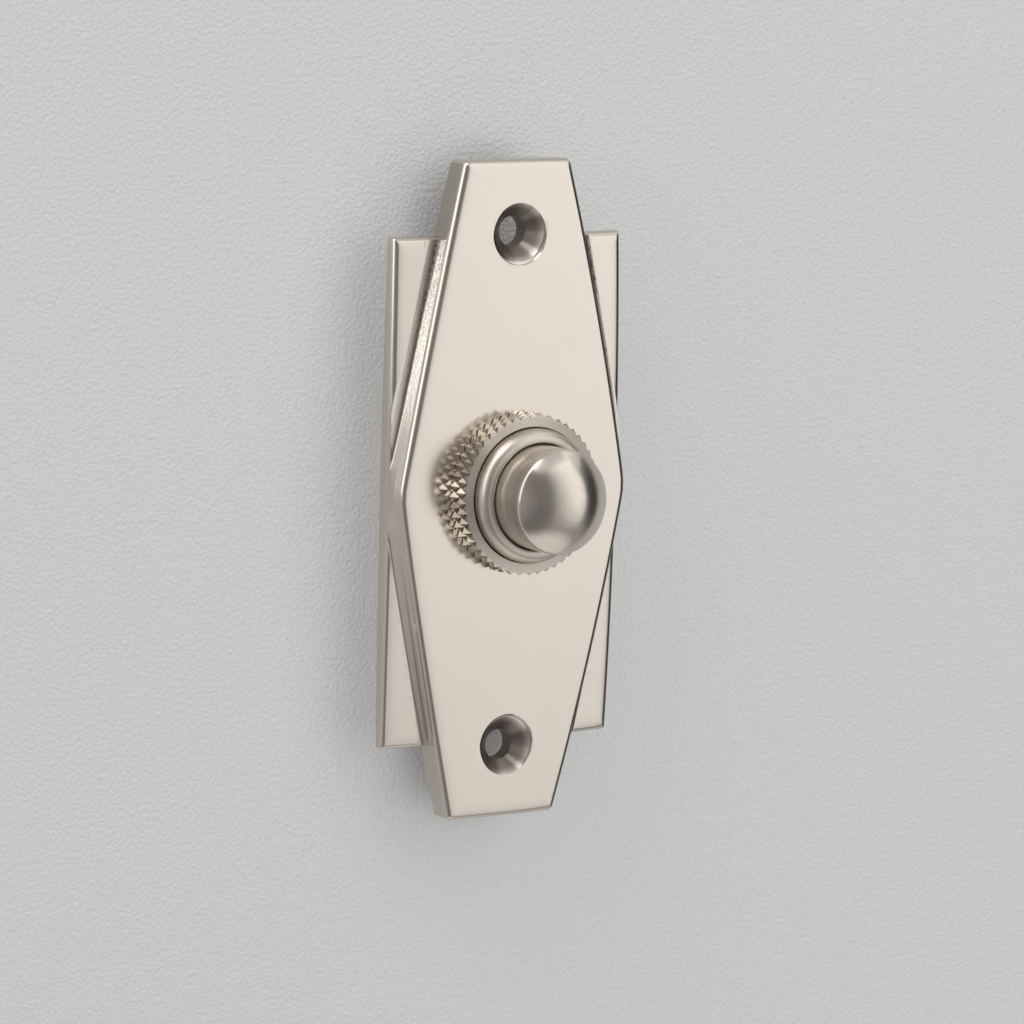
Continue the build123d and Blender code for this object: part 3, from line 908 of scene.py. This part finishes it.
class Barrel(bpy.types.Operator):
    """Turned barrel: rounded collar in front, clamping flange and switch housing behind"""

    bl_idname = "object.doorbell_barrel"
    bl_label = "Barrel"

    def execute(self, context):
        sizes = context.scene.doorbell_button
        front, back = BARREL_BOX[0].y, BARREL_BOX[1].y
        collar, bore, lip = sizes.collar / 2, sizes.collar_bore / 2, sizes.lip_radius
        flange, housing = 11 * MM, 10 * MM
        chamber, seat, groove = 8.2 * MM, 8.9 * MM, 9.4 * MM
        broken, inner = 0.12 * MM, collar - bore - lip
        flange_front, flange_back = -1.7 * MM, -0.1 * MM
        shoulder, base_front, base_back, groove_back = -6.4 * MM, 5.45 * MM, 8.95 * MM, 10.05 * MM
        outline = [
            *arc((collar - lip, front + lip), lip, start=-90, end=0, count=16),
            (collar, flange_front), *broken_rim(flange, flange_front, flange_back, broken),
            (housing, flange_back), (housing, back - 2 * broken), (housing - 2 * broken, back),
            (seat + broken, back), (seat, back - broken), (seat, groove_back), (groove, groove_back),
            (groove, base_back), (seat, base_back), (seat, base_front), (chamber, base_front),
            (chamber, shoulder), (bore, shoulder),
            *arc((bore + inner, front + inner), inner, start=180, end=270, count=8)[:-1],
        ]
        barrel = turned("barrel.dressed", outline, steps=160)
        smooth(barrel, degrees=25)
        nickel = turned_nickel("nickel_on_turned_brass", face_gloss=0.4, side_gloss=0.33, stained=0.35)
        own(barrel, BODY, "turned_nickel", nickel, "barrel")
        return {"FINISHED"}


class PushButton(bpy.types.Operator):
    """Domed button with its stem, retaining flange and bored boss"""

    bl_idname = "object.doorbell_push_button"
    bl_label = "Push button"

    def execute(self, context):
        sizes = context.scene.doorbell_button
        top, boss_back = BUTTON_BOX[0].y, BUTTON_BOX[1].y
        stem, rise, rim = sizes.stem / 2, sizes.dome_height, sizes.rim_radius
        ball = (stem**2 + rise**2) / (2 * rise)
        ball_share, dome_steps, edge_steps = 0.15, 39, 6
        dome_end = stem - 0.7 * rim
        dome_line = []
        for i in range(dome_steps + 1):
            radius = dome_end * i / dome_steps
            round_fall = ball - math.sqrt(ball**2 - radius**2)
            flat_fall = rise * (radius / stem) ** 2
            dome_line.append((radius, top + ball_share * round_fall + (1 - ball_share) * flat_fall))
        corner, below = (stem, top + rise), (stem, top + rise + rim)
        edge = []
        for i in range(1, edge_steps):
            t = i / edge_steps
            weights = ((1 - t) ** 2, 2 * t * (1 - t), t**2)
            points = (dome_line[-1], corner, below)
            edge.append(tuple(sum(w * p[k] for w, p in zip(weights, points)) for k in (0, 1)))
        flange, boss, socket = 8 * MM, 3.4 * MM, 2 * MM
        flange_front, flange_back, socket_floor = -5.85 * MM, -4.45 * MM, -6.95 * MM
        broken = 0.1 * MM
        outline = [
            *dome_line, *edge, below, (stem, flange_front),
            *broken_rim(flange, flange_front, flange_back, broken), (boss, flange_back),
            (boss, boss_back - broken), (boss - broken, boss_back), (socket, boss_back),
            (socket, socket_floor), (0, socket_floor),
        ]
        button = turned("push_button.dressed", outline, steps=160)
        smooth(button, degrees=25)
        own(button, BUTTON, "polished_nickel", worn_nickel(), "push_button")
        return {"FINISHED"}


class ReturnSpring(bpy.types.Operator):
    """Open coil spring, ground flat at both ends"""

    bl_idname = "object.doorbell_return_spring"
    bl_label = "Return spring"

    def execute(self, context):
        front, back = SPRING_BOX[0].y, SPRING_BOX[1].y
        wire, radius, turns, steps_per_turn = 0.4 * MM, 7.45 * MM, 4, 48
        steps = turns * steps_per_turn
        deselect()
        bpy.ops.mesh.primitive_circle_add(
            vertices=12, radius=wire, fill_type="NGON", location=(radius, front, 0)
        )
        spring = open_primitive("return_spring.dressed")
        apply_modifier(
            spring, "SCREW", angle=turns * math.tau, screw_offset=back - front, axis="Y",
            steps=steps, render_steps=steps, use_merge_vertices=False,
        )
        open_piece(spring)
        bpy.ops.mesh.fill_holes(sides=0)
        for end, outer in ((front, False), (back, True)):
            bpy.ops.mesh.select_all(action="SELECT")
            bpy.ops.mesh.bisect(
                plane_co=(0, end, 0), plane_no=PUSH_AXIS, use_fill=True,
                clear_outer=outer, clear_inner=not outer, threshold=FINEST,
            )
        tidy_mesh()
        smooth(spring, degrees=40)
        # Spring steel gives a dark grey, half-bright line round each coil
        tint = context.scene.doorbell_colours.steel
        steel = plain_metal("drawn_spring_steel", tint, roughness=0.35, grain=0.6)
        own(spring, BODY, "spring_steel", steel, "return_spring")
        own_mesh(spring)
        return {"FINISHED"}


class ContactStuds(bpy.types.Operator):
    """Headed studs with a screw thread, drawn as rings, behind the base"""

    bl_idname = "object.doorbell_contact_studs"
    bl_label = "Contact studs"

    def execute(self, context):
        # Turned brass gives the only yellow on the part, dulled by handling
        brass = plain_metal("turned_brass", context.scene.doorbell_colours.brass, roughness=0.3, grain=0.4)
        head, shank, core = 1.8 * MM, 1.5 * MM, 1.34 * MM
        thread_front, pitch, broken = 8.95 * MM, 0.5 * MM, 0.1 * MM
        crest_end, root = 0.1 * pitch, 0.55 * pitch
        for name, x in (("contact_stud_left", -STUD_REACH), ("contact_stud_right", STUD_REACH)):
            low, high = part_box(name)
            front, back, shoulder = low.y, high.y, 5.45 * MM
            turns = int((back - 2 * broken - thread_front) / pitch)
            outline = [(0, front), (head - broken, front), (head, front + broken), (head, shoulder),
                       (shank, shoulder)]
            for i in range(turns):
                crest = thread_front + i * pitch
                outline += [(shank, crest), (shank, crest + crest_end), (core, crest + root)]
            outline += [(shank, thread_front + turns * pitch), (core, back), (0, back)]
            stud = turned(name + ".dressed", outline, steps=64)
            move(stud, (x, 0, 0))
            smooth(stud, degrees=20)
            own(stud, BODY, "brass", brass, name)
        return {"FINISHED"}


class ThumbNuts(bpy.types.Operator):
    """Thumb nuts with a straight knurl"""

    bl_idname = "object.doorbell_thumb_nuts"
    bl_label = "Thumb nuts"

    def execute(self, context):
        low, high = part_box("terminal_nuts")
        front, back = low.y, high.y
        radius, bore, chamfer, broken = 3 * MM, 1.56 * MM, 0.3 * MM, 0.12 * MM
        nuts = knurled_bar(
            "terminal_nuts.dressed", teeth=32, radius=radius, depth=0.16 * MM,
            stations=[front, back], row=lambda y: 0,
        )
        tidy_mesh()
        outline = broken_rim(radius, front, back, chamfer) + broken_rim(bore, back, front, -broken)
        combine(nuts, turned("blank", outline, steps=96), "INTERSECT")
        clean(nuts)
        open_piece(nuts)
        bpy.ops.mesh.duplicate()
        bpy.ops.transform.translate(value=(2 * STUD_REACH, 0, 0))
        move(nuts, (-STUD_REACH, 0, 0))
        smooth(nuts, degrees=12)
        own(nuts, BODY, "brass", bpy.data.materials["turned_brass"], "terminal_nuts")
        return {"FINISHED"}


class SwitchFinish(bpy.types.Operator):
    """Finishes for the pieces of the switch"""

    bl_idname = "object.doorbell_switch_finish"
    bl_label = "Switch finish"

    def execute(self, context):
        colours = context.scene.doorbell_colours
        # Fibre gives a matt red-brown, phenolic a dark brown with a dull shine, bronze a warm copper red and
        # silver a white point of contact
        finishes = {
            "fibre": moulded("vulcanised_fibre", colours.fibre, roughness=0.6, grain=0.5, depth=0.03 * MM),
            "phenolic": moulded(
                "moulded_phenolic", colours.phenolic, roughness=0.4, grain=0.8, depth=0.02 * MM
            ),
            "bronze": plain_metal("rolled_phosphor_bronze", colours.bronze, roughness=0.32, grain=0.5),
            "silver": plain_metal("fine_silver", colours.silver, roughness=0.25, grain=0.3),
            "brass": bpy.data.materials["turned_brass"],
            "spring_steel": bpy.data.materials["drawn_spring_steel"],
        }
        for part in frame["record"]["subparts"]:
            node = frame["nodes"][part["node"]]
            if not node.hide_render:
                node.data.materials.clear()
                node.data.materials.append(finishes[part["material_slot"]])
        return {"FINISHED"}


# Stage

def direction(azimuth, elevation):
    """Unit vector from the button towards an azimuth, 0 in front of the plate, and an elevation."""
    flat = math.cos(elevation)
    return Vector((math.sin(azimuth) * flat, -math.cos(azimuth) * flat, math.sin(elevation)))


def lamp(name, azimuth, elevation, distance, width, height, radiance):
    """A soft lamp that faces the button from a direction in degrees, of a given brightness to the eye."""
    deselect()
    towards = direction(math.radians(azimuth), math.radians(elevation))
    bpy.ops.object.light_add(type="AREA", location=towards * distance)
    light = bpy.context.object
    light.name = name
    light.rotation_euler = towards.to_track_quat("Z", "Y").to_euler()
    light.data.shape = "RECTANGLE"
    light.data.size, light.data.size_y = width, height
    light.data.energy = radiance * math.pi * width * height
    light.visible_camera = False
    return light


def soften_left(light):
    """Let a softbox fade out towards its left side and its lower end."""
    add = emptied(light.data)
    parts = add("SeparateXYZ", {0: (add("NewGeometry"), "Parametric")})
    across = add("MapRange", {0: (parts, "X")}, span(-0.2, 0.72, 0, 1), **SOFT)
    upwards = add("MapRange", {0: (parts, "Y")}, span(-0.1, 0.55, 0, 1), **SOFT)
    share = add("Math", {0: across, 1: upwards}, operation="MULTIPLY")
    glow = add("Emission", {"Strength": share})
    add("OutputLight", {"Surface": glow})


def studio():
    """World: a dim room, dark at the right, paler above, below and far left, shaded at the left front."""
    world = bpy.data.worlds.new("studio")
    add = emptied(world)
    parts = add("SeparateXYZ", {0: (add("TexCoord"), "Generated")})
    from_left, from_front, from_below, not_far, dark_side, ceiling, floor, far_left = (
        add("MapRange", {0: (parts, axis)}, span(*change), **SOFT)
        for axis, *change in (
            ("X", -0.05, -0.35, 0, -0.17),
            ("Y", -0.25, -0.5, 0, 1),
            ("Z", -0.02, -0.3, 1, 1.2),
            ("X", -0.8, -0.55, 0, 1),
            ("X", 0.7, 0.95, 0.46, 0.05),
            ("Z", 0.66, 0.86, 0, 0.45),
            ("Z", -0.74, -0.9, 0, 0.7),
            ("X", -0.78, -0.93, 0, 0.22),
        )
    )
    shade, room = from_left, dark_side
    for part in (from_front, from_below, not_far):
        shade = add("Math", {0: shade, 1: part}, operation="MULTIPLY")
    for part in (shade, ceiling, floor, far_left):
        room = add("Math", {0: room, 1: part}, operation="ADD")
    to_camera = add("LightPath"), "Is Camera Ray"
    seen = add("Mix", {0: to_camera, FIRST_VALUE: room}, {SECOND_VALUE: 0.55})
    light = add("Background", {"Strength": seen})
    add("OutputWorld", {"Surface": light})
    return world


class Stage(bpy.types.Operator):
    """Wall, camera and soft studio light"""

    bl_idname = "object.doorbell_stage"
    bl_label = "Stage"

    def execute(self, context):
        scene, settings = context.scene, context.scene.doorbell_stage
        scene.view_settings.view_transform = "Standard"
        deselect()
        bpy.ops.mesh.primitive_plane_add(
            size=3, location=(0, settings.wall_standoff, 0), rotation=(math.pi / 2, 0, 0)
        )
        wall = open_primitive("wall")
        close_piece(wall)
        wall.data.materials.append(wall_paint())

        lamps = [
            lamp(name, azimuth, elevation, distance, width, height, radiance)
            for name, azimuth, elevation, distance, width, height, radiance in (
                ("key_softbox", 24, 5, 0.8, 1.05, 2.0, 0.98),
                ("left_strip", -75, 38, 0.6, 0.27, 1.0, 1.55),
                ("upper_left_softbox", -57, 63, 0.7, 0.42, 0.28, 2.4),
                ("top_right_fill", 82, 48, 0.7, 0.4, 0.3, 0.5),
            )
        ]
        soften_left(lamps[0])
        scene.world = studio()

        target = Vector((2.68 * MM, 0, -3.58 * MM))
        azimuth, elevation = settings.camera_azimuth, settings.camera_elevation
        turn = (Matrix.Rotation(azimuth, 4, "Z") @ Matrix.Rotation(math.pi / 2 - elevation, 4, "X")
                @ Matrix.Rotation(settings.camera_roll, 4, "Z"))
        deselect()
        bpy.ops.object.camera_add(
            location=target + direction(azimuth, elevation) * settings.camera_distance,
            rotation=turn.to_euler(),
        )
        camera = context.object
        camera.name = "camera"
        camera.data.lens = 202.5
        camera.data.sensor_width = 36
        camera.data.clip_start, camera.data.clip_end = 0.01, 20
        scene.camera = camera
        return {"FINISHED"}


class DoorbellPanel(bpy.types.Panel):
    """Lists the steps that model the doorbell push"""

    bl_idname = "VIEW3D_PT_doorbell"
    bl_label = "Doorbell push"
    bl_space_type = "VIEW_3D"
    bl_region_type = "UI"
    bl_category = "Doorbell"

    def draw(self, context):
        for operator in OPERATORS:
            self.layout.operator(operator.bl_idname)
        for group, kind in GROUPS.items():
            box = self.layout.box()
            for name in kind.__annotations__:
                box.prop(getattr(context.scene, group), name)


OPERATORS = (
    FacePlate, KnurledRing, Barrel, PushButton, ReturnSpring, ContactStuds, ThumbNuts, SwitchFinish, Stage
)


def register():
    for cls in (*GROUPS.values(), *OPERATORS, DoorbellPanel):
        bpy.utils.register_class(cls)
    for name, kind in GROUPS.items():
        setattr(bpy.types.Scene, name, PointerProperty(type=kind))


def unregister():
    for name in GROUPS:
        delattr(bpy.types.Scene, name)
    for cls in (DoorbellPanel, *reversed(OPERATORS), *GROUPS.values()):
        bpy.utils.unregister_class(cls)


def main():
    register()
    for operator in OPERATORS:
        family, step = operator.bl_idname.split(".")
        getattr(getattr(bpy.ops, family), step)()


if __name__ == "__main__":
    main()
